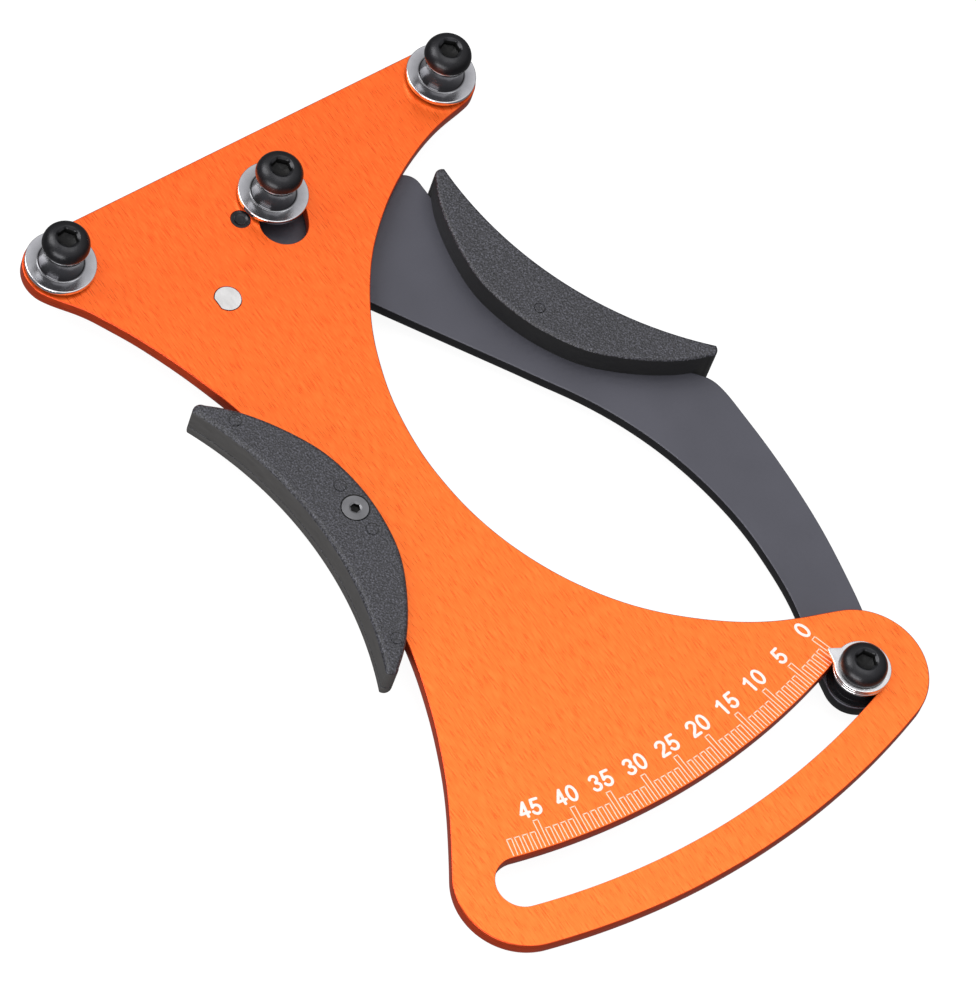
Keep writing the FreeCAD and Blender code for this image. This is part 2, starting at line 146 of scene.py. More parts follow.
PLATE = join([(LP[0] + (RP[0] - LP[0]) * k / 120, TOP_Y) for k in range(121)], arc_pts(RP, LOBE_R, 90, a_rl),
             spl(right_flank, perp(a_rl, -1), perp(a_rc, -1)), arc_pts(RC, CORNER_R, a_rc, SLOT_A0), arc_pts((0, 0), RIM_R, SLOT_A0, SLOT_A1),
             arc_pts(LC, CORNER_R, SLOT_A1 + 360, a_lc), spl(left_flank, perp(a_lc, -1), perp(a_ll, -1)), arc_pts(LP, LOBE_R, a_ll, 90))
SLOT = slot_loop((0, 0), SLOT_RM, SLOT_HW, SLOT_A0, SLOT_A1)
ARC_HOLE = slot_loop((0, 0), math.hypot(*MP), 5.4, math.degrees(math.atan2(MP[1], MP[0])) + 1.2, -34.3)


def d_loop(r, c=SPRING_POST):
    cut = math.degrees(math.acos(0.88))
    return np.array([pol(r, a, c) for a in np.linspace(-180 + cut, 180 - cut, 64)])


K, ML = (38.2, -9.7), 7.5
lev_out = [(42.2, -9.7), (42.3, -16.0), (42.9, -24.0), (44.3, -33.0), (46.7, -42.5), (50.4, -52.0), (55.3, -62.0), (61.0, -70.8), (65.6, -76.6), (68.6, -79.9)]
lev_out2 = [(70.7, -85.5), (70.85, -91.0), (70.85, -96.4), (70.55, -106.4), (69.75, -116.4), (68.4, -126.4), (66.4, -136.4), (63.6, -147.0), pol(6.8, -12, PT)]
lev_in = [pol(6.8, 168, PT), (48.2, -147.5), (50.7, -140.8), (52.3, -135.1), (53.9, -123.1), (54.2, -117.1), (53.4, -105.1), (51.0, -93.1), (46.8, -81.1), (40.5, -69.1), (36.6, -63.1), (32.8, -57.1)]
LEVER = join(arc_pts((0, 0), 8.0, 250, 96.1), arc_pts(MP, ML, 96.1, 62.3), arc_pts(K, 4.0, 62.3, 0), spl(lev_out, (0, -1), (0.66, -0.75)),
             spl([(68.6, -79.9), (70.05, -82.3), (70.7, -85.5)], (0.66, -0.75), (0.1, -1)), spl(lev_out2, (0.1, -1), perp(-12, -1)),
             arc_pts(PT, 6.8, -12, -192), spl(lev_in, perp(168, -1), (-0.545, 0.838)),
             [(32.8 + (4.46 - 32.8) * k / 60, -57.1 + (-13.52 + 57.1) * k / 60) for k in range(61)],
             spl([(4.46, -13.52), (0.9, -9.3), pol(8.0, 250)], (-0.545, 0.838), perp(250, -1)))


def place(p, c, rot):
    return pol(math.hypot(*p), math.degrees(math.atan2(p[1], p[0])) + rot, c)


def arc3(a, m, b, step=0.45):
    ax, ay = a; bx, by = m; cx, cy = b
    d = 2 * (ax * (by - cy) + bx * (cy - ay) + cx * (ay - by))
    ux = ((ax**2 + ay**2) * (by - cy) + (bx**2 + by**2) * (cy - ay) + (cx**2 + cy**2) * (ay - by)) / d
    uy = ((ax**2 + ay**2) * (cx - bx) + (bx**2 + by**2) * (ax - cx) + (cx**2 + cy**2) * (bx - ax)) / d
    ang = lambda q: math.degrees(math.atan2(q[1] - uy, q[0] - ux))
    a0, am, a1 = ang(a), ang(m), ang(b)
    w = lambda x: (x + 180) % 360 - 180
    da, dm = w(a1 - a0), w(am - a0)
    if da * dm < 0 or abs(dm) > abs(da):
        da -= math.copysign(360, da)
    return arc_pts((ux, uy), math.hypot(ax - ux, ay - uy), a0, a0 + da, step)


def crescent(c, rot, stretch=1.0, shift=0.0):
    half = [(2.6, 35.7), (5.6, 33.3), (10.5, 28.0), (15.5, 20.5), (18.6, 14.0), (20.25, 7.0)]
    pts = half + [(20.8, 0.0)] + [(x, -y) for x, y in reversed(half)]
    q = lambda p: place((p[0], stretch * p[1] + shift), c, rot)
    return join(spl([q(p) for p in pts]), arc3(q((2.6, -35.7)), q((0.9, -36.5)), q((-0.6, -35.4)), 0.2),
                arc3(q((-0.6, -35.4)), q((7.2, 0)), q((-0.6, 35.4))), arc3(q((-0.6, 35.4)), q((0.9, 36.5)), q((2.6, 35.7)), 0.2))


# ------------------------------------------------------------------ mesh building


def finish_mesh(bm, name, mats, angle=32.0, flip=True, walls=False):
    bmesh.ops.remove_doubles(bm, verts=bm.verts, dist=2e-7)
    if flip:
        bmesh.ops.recalc_face_normals(bm, faces=bm.faces)
    bm.normal_update()
    lim = math.radians(angle)
    for f in bm.faces:
        f.smooth = True
        # walls picks the steep faces for the second material, which carries the painted shade and painted light of the
        # side walls
        f.material_index = 1 if walls and abs(f.normal.z) < walls else 0
    for e in bm.edges:
        fs = e.link_faces
        if len(fs) == 2:
            caps = [abs(f.normal.z) > 0.99995 for f in fs]
            e.smooth = not (caps[0] != caps[1] or e.calc_face_angle(0.0) > lim)
    me = bpy.data.meshes.new(name)
    bm.to_mesh(me)
    bm.free()
    ob = bpy.data.objects.new(name, me)
    bpy.context.scene.collection.objects.link(ob)
    for m in (mats if isinstance(mats, (list, tuple)) else [mats]):
        me.materials.append(m)
    return ob


def normals2(q):
    e = np.roll(q, -1, 0) - q
    e /= np.hypot(*e.T)[:, None]
    n = np.stack([e[:, 1], -e[:, 0]], 1)
    m = n + np.roll(n, 1, 0)
    l = np.maximum(np.sum(m * m, 1), 0.6)
    return 2 * m / l[:, None]


def ring_verts(bm, q, z):
    return [bm.verts.new(P(x, y, z)) for x, y in q]


def band(bm, a, b):
    n = len(a)
    for k in range(n):
        bm.faces.new((a[k], a[(k + 1) % n], b[(k + 1) % n], b[k]))


def fan(bm, a, z, c):
    o = bm.verts.new(P(c[0], c[1], z))
    n = len(a)
    for k in range(n):
        bm.faces.new((a[k], a[(k + 1) % n], o))


def edges_of(bm, a):
    n = len(a)
    return [bm.edges.get((a[k], a[(k + 1) % n])) or bm.edges.new((a[k], a[(k + 1) % n])) for k in range(n)]


def loft(bm, outer, holes, prof, hole_prof=None, top=(), bottom=()):
    """stacks of the outline, shrunk by each (inset, z); holes open by the same; top and bottom carry round features (centre, [(r, z), ...])"""
    lo, hi = [], []
    for q, pr, s in [(outer, prof, 1)] + [(np.array(h), hole_prof or prof, -1) for h in holes]:
        nn = normals2(q)
        rows = [ring_verts(bm, q - s * i * nn, z) for i, z in pr]
        for a, b in zip(rows, rows[1:]):
            band(bm, a, b)
        lo += edges_of(bm, rows[0])
        hi += edges_of(bm, rows[-1])
    for feats, es in ((bottom, lo), (top, hi)):
        for c, rp in feats:
            rows = [ring_verts(bm, circle(c, r, 48), z) for r, z in rp if r > 0]
            for a, b in zip(rows, rows[1:]):
                band(bm, a, b)
            es += edges_of(bm, rows[0])
            if rp[-1][0] == 0:
                fan(bm, rows[-1], rp[-1][1], c)
            else:
                bmesh.ops.contextual_create(bm, geom=edges_of(bm, rows[-1]))
        bmesh.ops.triangle_fill(bm, use_beauty=True, use_dissolve=False, edges=es)


def fillet(r, z, up, n=4, inset=0.0):
    """quarter round from the wall to the face at z; up=+1 for the upper edge"""
    out = []
    for k in range(n + 1):
        t = PI / 2 * k / n
        out.append((inset + r - r * math.cos(t), z - up * (r - r * math.sin(t))))
    return out


def wall(z0, z1, r0, r1, n=3):
    return list(reversed(fillet(r0, z0, -1, n))) + fillet(r1, z1, 1, n)


def lathe(name, c, prof, mats, n=96, closed=False, angle=32.0):
    bm = bmesh.new()
    rows = []
    for r, z in prof:
        rows.append(ring_verts(bm, circle(c, r, n), z) if r > 1e-6 else [bm.verts.new(P(c[0], c[1], z))])
    pairs = list(zip(rows, rows[1:])) + ([(rows[-1], rows[0])] if closed else [])
    for a, b in pairs:
        if len(a) == 1 and len(b) == 1:
            continue
        if len(a) == 1 or len(b) == 1:
            one, many = (a[0], b) if len(a) == 1 else (b[0], a)
            for k in range(n):
                bm.faces.new((many[k], many[(k + 1) % n], one))
        else:
            band(bm, a, b)
    return finish_mesh(bm, name, mats, angle)


def hexring(c, af, rot, n=96):
    out = []
    for k in range(n):
        a = 360 * k / n
        r = (af / 2) / math.cos(math.radians((a % 60) - 30))
        out.append(pol(r, a + rot, c))
    return np.array(out)


def rcircle(c, r, rot, n=96):
    return np.array([pol(r, 360 * k / n + rot, c) for k in range(n)])


def stack(name, rows, mats, start_fan=None, end_fan=None, angle=32.0):
    """rows are (points, z); fans close the ends at (centre, z)"""
    bm = bmesh.new()
    vs = [ring_verts(bm, q, z) for q, z in rows]
    for a, b in zip(vs, vs[1:]):
        band(bm, a, b)
    if start_fan:
        fan(bm, vs[0], start_fan[1], start_fan[0])
    if end_fan:
        fan(bm, vs[-1], end_fan[1], end_fan[0])
    return finish_mesh(bm, name, mats, angle)


# ------------------------------------------------------------------ materials


def material(name, color, rough, metallic=0.0, **kw):
    m = bpy.data.materials.new(name)
    m.use_nodes = True
    b = m.node_tree.nodes["Principled BSDF"]
    b.inputs["Base Color"].default_value = (*color, 1)
    b.inputs["Roughness"].default_value = rough
    b.inputs["Metallic"].default_value = metallic
    for k, v in kw.items():
        b.inputs[k.replace("_", " ")].default_value = v
    return m


def nd(m, kind, **kw):
    n = m.node_tree.nodes.new(kind)
    for k, v in kw.items():
        setattr(n, k, v)
    return n


def ln(m, a, b):
    m.node_tree.links.new(a, b)


def coords(m, scale, loc=(0, 0, 0), rot=(0, 0, 0)):
    t = nd(m, "ShaderNodeTexCoord")
    g = nd(m, "ShaderNodeMapping")
    g.inputs["Location"].default_value = loc
    g.inputs["Rotation"].default_value = rot
    g.inputs["Scale"].default_value = scale
    ln(m, t.outputs["Object"], g.inputs["Vector"])
    return g.outputs["Vector"]


def noise(m, vec, scale=1.0, detail=3.0, rough=0.55):
    n = nd(m, "ShaderNodeTexNoise")
    n.inputs["Scale"].default_value = scale
    n.inputs["Detail"].default_value = detail
    n.inputs["Roughness"].default_value = rough
    ln(m, vec, n.inputs["Vector"])
    return n.outputs["Fac"]


def ramp(m, fac, stops):
    r = nd(m, "ShaderNodeValToRGB")
    e = r.color_ramp.elements
    while len(e) < len(stops):
        e.new(0.5)
    for k, (p, c) in enumerate(stops):
        e[k].position = p
        e[k].color = (*c, 1) if len(c) == 3 else c
    ln(m, fac, r.inputs["Fac"])
    return r.outputs["Color"]


def remap(m, fac, lo, hi, f0=0.3, f1=0.7):
    r = nd(m, "ShaderNodeMapRange")
    r.inputs["From Min"].default_value = f0
    r.inputs["From Max"].default_value = f1
    r.inputs["To Min"].default_value = lo
    r.inputs["To Max"].default_value = hi
    ln(m, fac, r.inputs["Value"])
    return r.outputs["Result"]


def bump(m, height, strength, dist, after=None):
    b = nd(m, "ShaderNodeBump")
    b.inputs["Strength"].default_value = strength
    b.inputs["Distance"].default_value = dist
    ln(m, height, b.inputs["Height"])
    if after is not None:
        ln(m, after, b.inputs["Normal"])
    return b.outputs["Normal"]


def shader(m):
    return m.node_tree.nodes["Principled BSDF"]


def orange_brushed():
    """anodised aluminium brushed along Y, with painted shade from the posts darkening it towards the top end, so it is
    a little paler towards the scale
    """
    m = material("orange_anodised", (0.95, 0.17, 0.02), 0.30, 0.6)
    s = shader(m)
    fine = noise(m, coords(m, (3400, 260, 400)), 1.0, 2.5, 0.6)
    dash = noise(m, coords(m, (5000, 420, 400), (3, 1, 0)), 1.0, 1.0)
    base = ramp(m, fine, [(0.28, (0.83, 0.118, 0.012)), (0.47, (0.95, 0.172, 0.021)), (0.74, (0.99, 0.225, 0.036))])
    dark = ramp(m, dash, [(0.25, (0.50, 0.30, 0.25)), (0.35, (1, 1, 1))])
    mul = nd(m, "ShaderNodeMix", data_type="RGBA", blend_type="MULTIPLY")
    mul.inputs["Factor"].default_value = 0.45
    ln(m, base, mul.inputs["A"])
    ln(m, dark, mul.inputs["B"])
    # painted shade and reflection of the dark posts: a reddish darkening by height, strongest towards the posts at the
    # top and fading out towards the scale
    place_at = nd(m, "ShaderNodeSeparateXYZ")
    ln(m, coords(m, (1, 1, 1)), place_at.inputs[0])
    along = remap(m, place_at.outputs["Y"], 0.0, 1.0, 0.075, -0.085)
    post_shade_tint = ramp(m, along, [(0.0, (0.97, 0.74, 0.64)), (0.45, (0.98, 0.92, 0.87)), (1.0, (1, 1, 1))])
    mul2 = nd(m, "ShaderNodeMix", data_type="RGBA", blend_type="MULTIPLY")
    mul2.inputs["Factor"].default_value = 1.0
    ln(m, mul.outputs["Result"], mul2.inputs["A"])
    ln(m, post_shade_tint, mul2.inputs["B"])
    ln(m, mul2.outputs["Result"], s.inputs["Base Color"])
    ln(m, remap(m, fine, 0.25, 0.38), s.inputs["Roughness"])
    ln(m, bump(m, fine, 0.25, 0.00004), s.inputs["Normal"])
    return m


def wall_of(name, base, rough, metallic):
    """the side walls of a part, finer than its faces and in a base colour that holds painted shade (darker than the
    faces) and painted light (paler), with marks along the plate's plane
    """
    m = material(name, base, rough, metallic)
    s = shader(m)
    n = noise(m, coords(m, (300, 300, 4200)), 1.0, 3.0)
    ln(m, ramp(m, n, [(0.3, tuple(0.8 * c for c in base)), (0.7, tuple(min(1, 1.2 * c) for c in base))]), s.inputs["Base Color"])
    ln(m, remap(m, n, rough - 0.05, rough + 0.08), s.inputs["Roughness"])
    ln(m, bump(m, n, 0.12, 0.00003), s.inputs["Normal"])
    return m


def lever_satin():
    m = material("lever_anodised", (0.062, 0.062, 0.068), 0.42, 0.35)
    s = shader(m)
    n = noise(m, coords(m, (1100, 1100, 1100)), 1.0, 4.0)
    w = noise(m, coords(m, (40, 40, 40)), 1.0, 2.0)
    ln(m, ramp(m, w, [(0.3, (0.053, 0.053, 0.066)), (0.7, (0.067, 0.067, 0.083))]), s.inputs["Base Color"])
    ln(m, remap(m, n, 0.36, 0.52), s.inputs["Roughness"])
    ln(m, bump(m, n, 0.07, 0.00003), s.inputs["Normal"])
    return m


def grip_plastic():
    m = material("grip_moulded", (0.016, 0.016, 0.018), 0.45)
    s = shader(m)
    v = nd(m, "ShaderNodeTexVoronoi")
    v.inputs["Scale"].default_value = 1.0
    ln(m, coords(m, (1900, 1900, 1900)), v.inputs["Vector"])
    n = noise(m, coords(m, (2600, 2600, 2600)), 1.0, 2.0, 0.7)
    w = noise(m, coords(m, (60, 60, 60)), 1.0, 2.0)
    grain = ramp(m, n, [(0.32, (0.006, 0.006, 0.008)), (0.50, (0.018, 0.018, 0.022)), (0.68, (0.085, 0.085, 0.104))])
    cloud = ramp(m, w, [(0.3, (0.86, 0.86, 0.86)), (0.7, (1.0, 1.0, 1.0))])
    mul = nd(m, "ShaderNodeMix", data_type="RGBA", blend_type="MULTIPLY")
    mul.inputs["Factor"].default_value = 1.0
    ln(m, grain, mul.inputs["A"])
    ln(m, cloud, mul.inputs["B"])
    ln(m, mul.outputs["Result"], s.inputs["Base Color"])
    ln(m, remap(m, n, 0.36, 0.60), s.inputs["Roughness"])
    ln(m, bump(m, v.outputs["Distance"], 0.7, 0.00015, bump(m, n, 0.6, 0.00015)), s.inputs["Normal"])
    return m


def black_oxide(name="black_oxide", base=(0.010, 0.010, 0.012), rough=0.30):
    m = material(name, base, rough, 0.5)
    s = shader(m)
    n = noise(m, coords(m, (1300, 1300, 1300)), 1.0, 4.0)
    w = noise(m, coords(m, (160, 160, 160)), 1.0, 2.0)
    ln(m, ramp(m, w, [(0.3, tuple(0.75 * c for c in base)), (0.7, tuple(1.4 * c for c in base))]), s.inputs["Base Color"])
    ln(m, remap(m, n, rough - 0.06, rough + 0.10), s.inputs["Roughness"])
    ln(m, bump(m, n, 0.12, 0.00004), s.inputs["Normal"])
    return m


def turned(name, c, base, rough, painted_reflection=False, scale=2200.0, strength=0.10):
    """steel with the fine rings that turning leaves round the axis at c; with painted_reflection the colour also paints
    reflections by distance from the axis
    """
    m = material(name, base, rough, 1.0)
    s = shader(m)
    o = P(c[0], c[1], 0)
    w = nd(m, "ShaderNodeTexWave", wave_type="RINGS", rings_direction="Z")
    w.inputs["Scale"].default_value = 1.0
    w.inputs["Distortion"].default_value = 1.2
    w.inputs["Detail"].default_value = 2.0
    ln(m, coords(m, (scale, scale, scale), (-o[0] * scale, -o[1] * scale, 0)), w.inputs["Vector"])
    n = noise(m, coords(m, (500, 500, 500)), 1.0, 3.0)
    off = nd(m, "ShaderNodeVectorMath", operation="LENGTH")
    ln(m, coords(m, (1000, 1000, 0), (-1000 * o[0], -1000 * o[1], 0)), off.inputs[0])
    # painted reflection: the barrel is painted dark as if reflecting a dark room, the flange top grades lighter and
    # ends in a painted bright highlight ring at the rim
    reflection_ramp = ramp(m, remap(m, off.outputs["Value"], 0.0, 1.0, 4.0, 8.0), [(0.0, (0.09, 0.09, 0.094)), (0.27, (0.09, 0.09, 0.094)), (0.36, (0.34, 0.34, 0.35)), (0.88, (0.54, 0.54, 0.555)), (0.95, (0.85, 0.85, 0.86))]) if painted_reflection else None
    tone = ramp(m, n, [(0.3, tuple(0.93 * x for x in base)), (0.7, tuple(min(1, 1.04 * x) for x in base))])
    if painted_reflection:
        mul = nd(m, "ShaderNodeMix", data_type="RGBA", blend_type="MULTIPLY")
        mul.inputs["Factor"].default_value = 1.0
        ln(m, reflection_ramp, mul.inputs["A"])
        ln(m, tone, mul.inputs["B"])
        tone = mul.outputs["Result"]
    ln(m, tone, s.inputs["Base Color"])
    ln(m, remap(m, n, rough - 0.04, rough + 0.05), s.inputs["Roughness"])
    ln(m, bump(m, w.outputs["Fac"], strength, 0.00003), s.inputs["Normal"])
    return m


def dull_metal(name, base, rough, metallic=1.0, stretch=(900, 900, 900), strength=0.08):
    m = material(name, base, rough, metallic)
    s = shader(m)
    n = noise(m, coords(m, stretch), 1.0, 4.0)
    w = noise(m, coords(m, (130, 130, 130)), 1.0, 2.0)
    ln(m, ramp(m, w, [(0.3, tuple(0.88 * x for x in base)), (0.7, tuple(min(1, 1.08 * x) for x in base))]), s.inputs["Base Color"])
    ln(m, remap(m, n, rough - 0.06, rough + 0.08), s.inputs["Roughness"])
    ln(m, bump(m, n, strength, 0.00004), s.inputs["Normal"])
    return m


def print_ink(name, base):
    m = material(name, base, 0.55)
    s = shader(m)
    n = noise(m, coords(m, (2600, 300, 900)), 1.0, 3.0)
    ln(m, ramp(m, n, [(0.30, tuple(0.86 * c for c in base)), (0.48, base), (0.8, tuple(min(1, 1.06 * c) for c in base))]), s.inputs["Base Color"])
    ln(m, remap(m, n, 0.48, 0.62), s.inputs["Roughness"])
    return m


ORANGE, LEVER_M, GRIP_M, BLACK = orange_brushed(), lever_satin(), grip_plastic(), black_oxide()
PRINT, TICK_INK = print_ink("print_white", (0.74, 0.66, 0.62)), print_ink("print_thin", (0.92, 0.56, 0.42))
# painted shade: the plate's and the lever's side walls get darker copies of their face colours, for the shade they fall
# in
ORANGE_WALL_SHADE, LEVER_WALL_SHADE = wall_of("orange_wall_painted_shade", (0.62, 0.060, 0.012), 0.30, 0.7), wall_of("lever_wall_painted_shade", (0.012, 0.012, 0.014), 0.36, 0.4)
SATIN = black_oxide("satin_grey", (0.135, 0.135, 0.142), 0.36)
# painted shade: near-black material for the inside of the hex sockets
SOCKET_SHADE = black_oxide("socket_painted_shade", (0.003, 0.003, 0.003), 0.55)
# painted light and shade on the grips' side walls: a paler copy of the plastic for the frame grip's lit wall, a
# near-black one for the lever grip's shaded wall
GRIP_WALL_LIT, GRIP_SHADE = wall_of("grip_wall_painted_light", (0.052, 0.050, 0.049), 0.52, 0.0), wall_of("grip_shade", (0.007, 0.007, 0.007), 0.42, 0.0)
ZINC = dull_metal("zinc_plate", (0.60, 0.61, 0.62), 0.30)
WIRE = dull_metal("spring_wire", (0.30, 0.30, 0.31), 0.32, stretch=(400, 400, 400))
BRONZE = dull_metal("bronze", (0.52, 0.34, 0.17), 0.42)
# the post spools take the painted reflections; the pointer steel does not
STEEL = {n: turned("post_steel_" + n, c, (0.95, 0.95, 0.97) if n != "pointer" else (0.80, 0.80, 0.81), 0.15, n != "pointer") for n, c in (("left", LP), ("right", RP), ("middle", MP), ("pointer", PT))}
PIN_STEEL = dull_metal("pin_steel", (0.72, 0.71, 0.70), 0.34, stretch=(1600, 300, 600))


def give(ob, body, slot, *nodes):
    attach(ob, body)
    if nodes:
        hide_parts(*nodes)
    return ob


# ------------------------------------------------------------------ face plate and its print

bm = bmesh.new()
loft(bm, PLATE, [SLOT, ARC_HOLE, circle(LP, 3.1), circle(RP, 3.1), circle((0, 0), 2.22, 60), d_loop(3.04), circle((-21.0, -72.2), 1.8)],
     wall(-PLATE_T, 0, 0.22, 0.22, 3), wall(-PLATE_T, 0, 0.12, 0.12, 2))
plate = give(finish_mesh(bm, "face_plate_body", [ORANGE, ORANGE_WALL_SHADE], walls=0.98), "frame", "plate_orange", "face_plate")

TICK0, PITCH = -71.43, -0.6578
PRINT_T = 0.012


def strip(bm, p, q, w):
    d = np.array(q) - np.array(p)
    l = np.hypot(*d)
    n = np.array([-d[1], d[0]]) / l * w / 2
    c = [np.array(p) + n, np.array(p) - n, np.array(q) - n, np.array(q) + n]
    a = ring_verts(bm, c, 0.0)
    b = ring_verts(bm, c, PRINT_T)
    band(bm, a, b)
    bm.faces.new(b)
    bm.faces.new(a)


bm = bmesh.new()
LINE = 0.22
for k in range(50):
    a = TICK0 + PITCH * k
    r_in = 153.4 if k % 5 == 0 else 155.8
    near, far = math.degrees(0.46 / 160.0), math.degrees(0.56 / 155.0)
    for s in (-1, 1):
        strip(bm, pol(SLOT_RI - 0.3, a + s * near), pol(r_in, a + s * far), LINE)
    strip(bm, pol(r_in, a - far * 1.2), pol(r_in, a + far * 1.2), LINE)
ticks = give(finish_mesh(bm, "scale_ticks", TICK_INK), "frame", "plate_orange")

CAP_H, STROKE = 4.0, 0.65
W2 = STROKE / CAP_H / 2


def bow(c, rx, ry, a0, a1, n=28):
    return [(c[0] + rx * math.cos(math.radians(a0 + (a1 - a0) * k / n)), c[1] + ry * math.sin(math.radians(a0 + (a1 - a0) * k / n))) for k in range(n + 1)]


GLYPH = {
    "0": [bow((0.31, 0.5), 0.31 - W2, 0.5 - W2, 90, 450, 60)],
    "1": [[(0.36, W2), (0.36, 1 - W2)], [(0.36, 1 - W2), (0.27, 0.82), (0.13, 0.74)]],
    "2": [bow((0.31, 0.70), 0.31 - W2, 0.30 - W2, 172, -28) + [(0.36, 0.40), (0.20, 0.25), (0.10, W2)], [(0.10, W2), (0.53, W2)]],
    "3": [bow((0.30, 0.725), 0.20, 0.275 - W2, 160, -80), bow((0.30, 0.285), 0.30 - W2, 0.285 - W2, 82, -165)],
    "4": [[(0.43, W2), (0.43, 1 - W2)], [(0.43, 1 - W2), (0.09, 0.31)], [(0.09, 0.30), (0.57, 0.30)]],
    "5": [[(0.53, 1 - W2), (0.19, 1 - W2)], [(0.19, 1 - W2), (0.13, 0.50)], bow((0.30, 0.33), 0.31 - W2, 0.33 - W2, 138, -160)],
}


def stroke_loop(pts, w):
    """outline of a line of width w with round ends"""
    p = np.array(pts, float)
    if np.hypot(*(p[0] - p[-1])) < 1e-6:
        q = p[:-1]
        n = normals2(q)
        return q + n * w / 2, q - n * w / 2
    fine = [p[0]]
    for a, b in zip(p, p[1:]):
        m = max(1, int(np.hypot(*(b - a)) / 0.15))
        fine += [a + (b - a) * j / m for j in range(1, m + 1)]
    p = np.array(fine)
    t = np.gradient(p, axis=0)
    t /= np.hypot(*t.T)[:, None]
    n = np.stack([-t[:, 1], t[:, 0]], 1) * w / 2
    a0 = math.degrees(math.atan2(n[0][1], n[0][0]))
    a1 = math.degrees(math.atan2(n[-1][1], n[-1][0]))
    return join([tuple(x) for x in (p + n)[::-1]], arc_pts(p[0], w / 2, a0, a0 + 180, 0.09), [tuple(x) for x in (p - n)], arc_pts(p[-1], w / 2, a1 - 180, a1, 0.09)), None


for k in range(0, 50, 5):
    a = TICK0 + PITCH * k
    up = -np.array(pol(1, a))
    right = np.array((up[1], -up[0]))
    mid = np.array(pol(150.5, a))
    text = str(k)
    width = 0.62 + 0.70 * (len(text) - 1)
    bm = bmesh.new()
    lift = 0
    for i, ch in enumerate(text):
        for line in GLYPH[ch]:
            pts = [tuple(mid + right * CAP_H * (x + 0.70 * i - width / 2) + up * CAP_H * (y - 0.5)) for x, y in line]
            out, hole = stroke_loop(pts, STROKE)
            top_z = PRINT_T + 0.0015 * lift
            lift += 1
            loft(bm, out, [] if hole is None else [hole], [(0, 0.0), (0, top_z)])
    give(finish_mesh(bm, "scale_number_%02d" % k, PRINT), "frame", "plate_orange")

# ------------------------------------------------------------------ lever arm

gl_screw = place((16.4, 0), GL_C, GL_ROT)
bm = bmesh.new()
loft(bm, LEVER, [circle((0, 0), 4.9), circle(MP, 3.1), circle(PT, 3.1), circle(gl_screw, 1.8)], wall(LEV_Z0, LEV_Z1, 0.25, 0.25, 3), wall(LEV_Z0, LEV_Z1, 0.1, 0.1, 2))
give(finish_mesh(bm, "lever_arm_body", [LEVER_M, LEVER_WALL_SHADE], walls=0.35), "lever", "lever_dark", "lever_arm")


# ------------------------------------------------------------------ grips


def boolean(ob, tool, angle=32.0):
    mod = ob.modifiers.new("cut", "BOOLEAN")
    mod.operation, mod.object, mod.solver = "DIFFERENCE", tool, "EXACT"
    dg = bpy.context.evaluated_depsgraph_get()
    dg.update()
    me = bpy.data.meshes.new_from_object(ob.evaluated_get(dg))
    ob.modifiers.clear()
    mats = [s.material for s in ob.material_slots]
    name = ob.name
    bpy.data.objects.remove(ob)
    b = bmesh.new()
    b.from_mesh(me)
    bpy.data.meshes.remove(me)
    bmesh.ops.dissolve_degenerate(b, dist=1e-7, edges=b.edges)
    return finish_mesh(b, name, mats[:2], angle, flip=False, walls=0.3)


def plain_slab(outline, z0, z1):
    b = bmesh.new()
    loft(b, outline, [], [(0, z0), (0, z1)])
    return finish_mesh(b, "cutter", [])


def grip(name, c, rot, z_top, z_part, z_back, cutter, screw_front, body, nodes):
    out = crescent(c, rot, 1.0125, 0.4) if screw_front else crescent(c, rot)
    sc = place((16.4, 0), c, rot)
    mark = lambda p, r, z, d: (place(p, c, rot), [(r, z), (r - 0.03, z - 0.18 * d), (r - 0.20, z - 0.20 * d), (r - 0.26, z - 0.02 * d), (0, z - 0.02 * d)])
    up = [mark(p, 1.5, z_top, 1) for p in ((16.6, 6.0), (16.6, -6.0), (6.0, 30.0), (6.0, -30.0))] if screw_front else []
    hole = [(3.25, z_top), (3.15, z_top - 0.55), (3.0, z_top - 0.6), (1.6, z_top - 1.7), (1.6, z_part + 0.6), (0, z_part + 0.6)]
    pip = [(1.35, z_top), (1.28, z_top - 0.16), (1.12, z_top - 0.16), (1.06, z_top + 0.04), (0.95, z_top + 0.10), (0.46, z_top + 0.10), (0.38, z_top - 0.05), (0, z_top - 0.08)]
    up.append((sc, hole if screw_front else pip))
    b = bmesh.new()
    loft(b, out, [], wall(z_part, z_top, 0.16, 1.0 if screw_front else 0.7, 6), top=up)
    # the wall material is painted light on the frame grip and painted shade on the lever grip
    side = GRIP_WALL_LIT if screw_front else GRIP_SHADE
    front = boolean(finish_mesh(b, name + "_front_shell", [GRIP_M, side]), cutter)
    give(front, body, "grip_black", nodes[0])
    down = [mark(p, 1.5, z_back, -1) for p in ((10.5, 20.0), (10.5, -20.0))]
    if not screw_front:
        down.append((sc, [(3.05, z_back), (3.05, z_back + 0.25), (1.6, z_back + 1.7), (1.6, z_part - 0.3), (0, z_part - 0.3)]))
    b = bmesh.new()
    loft(b, out, [], list(reversed(fillet(1.7, z_back, -1, 8))) + fillet(0.16, z_part, 1, 2), bottom=down)
    give(finish_mesh(b, name + "_rear_shell", [GRIP_M, side], walls=0.3), body, "grip_black", nodes[1])


